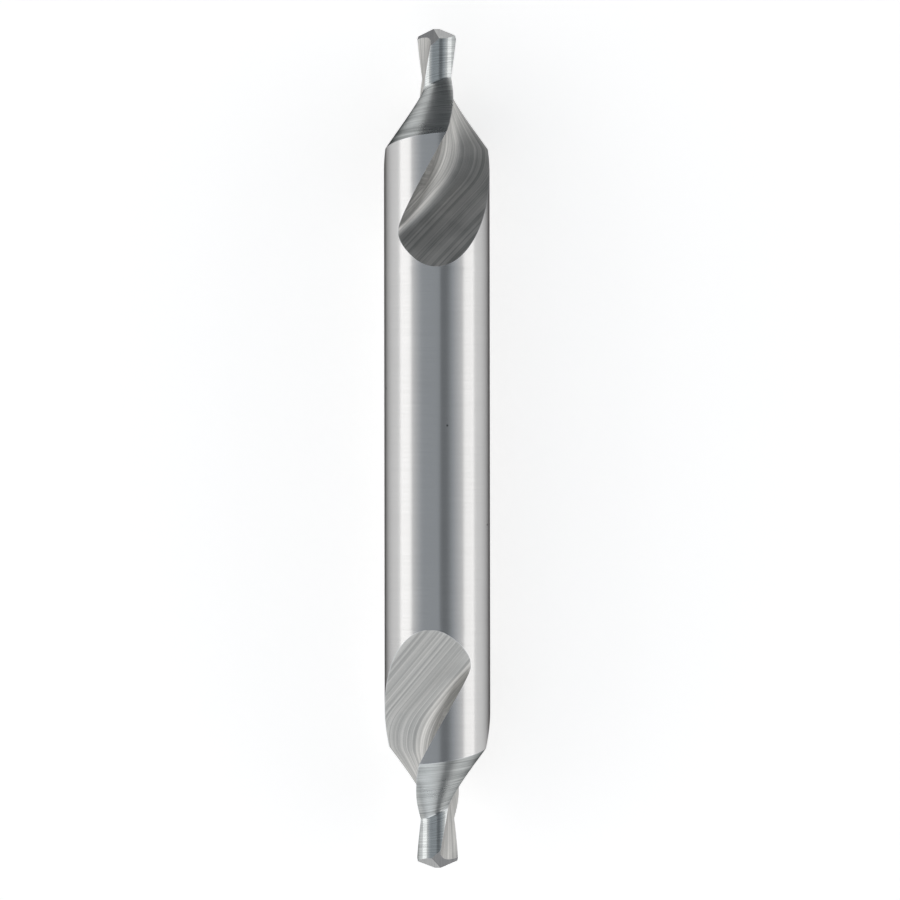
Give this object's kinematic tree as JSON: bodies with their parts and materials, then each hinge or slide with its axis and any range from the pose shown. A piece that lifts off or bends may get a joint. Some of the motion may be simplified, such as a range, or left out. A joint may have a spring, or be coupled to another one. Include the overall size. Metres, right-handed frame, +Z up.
{
  "type": "centre drill",
  "caption": "Double-ended centre drill: a round bar with a short fluted pilot and a 60 degree countersink at each end.",
  "frame": {"origin": "centre of the bounding box's bottom, on the line where the lying shank touches the ground", "axes": "+Y along the drill towards its first end, +Z up"},
  "size_m": [0.0032, 0.025, 0.0031],
  "materials": {
    "ground_carbide": "solid tungsten carbide: polished shank, form-ground noses, flutes with coarse diagonal grinding lines"
  },
  "bodies": {
    "root": {"centre_drill": "ground_carbide"}
  },
  "joints": []
}
